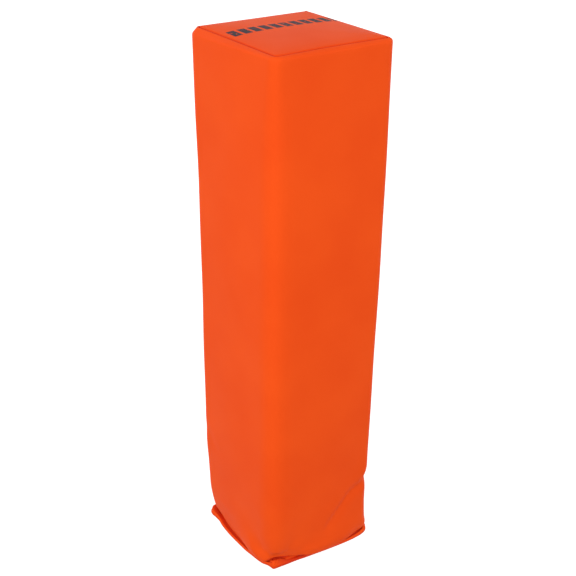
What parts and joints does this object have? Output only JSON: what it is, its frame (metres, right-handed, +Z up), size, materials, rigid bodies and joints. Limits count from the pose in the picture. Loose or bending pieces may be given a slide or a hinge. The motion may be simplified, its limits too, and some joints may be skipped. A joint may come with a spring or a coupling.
{
  "type": "football end zone pylon",
  "caption": "Tall square soft marker post in orange coated vinyl over foam, with a weighted base, a flat rim and a flap that closes the base opening.",
  "frame": {"origin": "centre of the base, on the ground", "axes": "+Z up the post, +X and -Y out of the two side faces that the picture shows, +Y towards the flap's hinge edge; the wrap's vertical seam is at the corner towards -X and +Y"},
  "size_m": [0.11, 0.11, 0.45],
  "materials": {
    "coated_vinyl": "satin coated cloth",
    "orange_thread": "twisted thread",
    "foam": "open-cell foam",
    "bag_canvas": "matt woven",
    "sand": "loose grains",
    "hook_tape": "moulded hooks",
    "loop_tape": "brushed loops"
  },
  "bodies": {
    "cover": {"cover_wrap": "coated_vinyl", "top_panel": "coated_vinyl", "top_seam_thread": "orange_thread", "back_seam_thread": "orange_thread", "hem_thread": "orange_thread", "foam_core": "foam", "ballast_bag_lower": "bag_canvas", "ballast_bag_upper": "bag_canvas", "ballast_bag_thread": "orange_thread", "ballast_sand": "sand", "flap_hinge_strip": "coated_vinyl", "flap_hinge_thread": "orange_thread", "loop_tape_front": "loop_tape", "loop_tape_left": "loop_tape", "loop_tape_right": "loop_tape", "loop_stitch_front": "orange_thread", "loop_stitch_left": "orange_thread", "loop_stitch_right": "orange_thread"},
    "flap": {"base_flap": "coated_vinyl", "hook_tape_front": "hook_tape", "hook_tape_left": "hook_tape", "hook_tape_right": "hook_tape", "hook_stitch_front": "orange_thread", "hook_stitch_left": "orange_thread", "hook_stitch_right": "orange_thread"}
  },
  "joints": [
    {"name": "base_flap_hinge", "type": "hinge", "parent": "cover", "child": "flap", "pos_m": [0, 0.0444, 0], "axis": [1, 0, 0], "range_deg": [0, 170]}
  ]
}
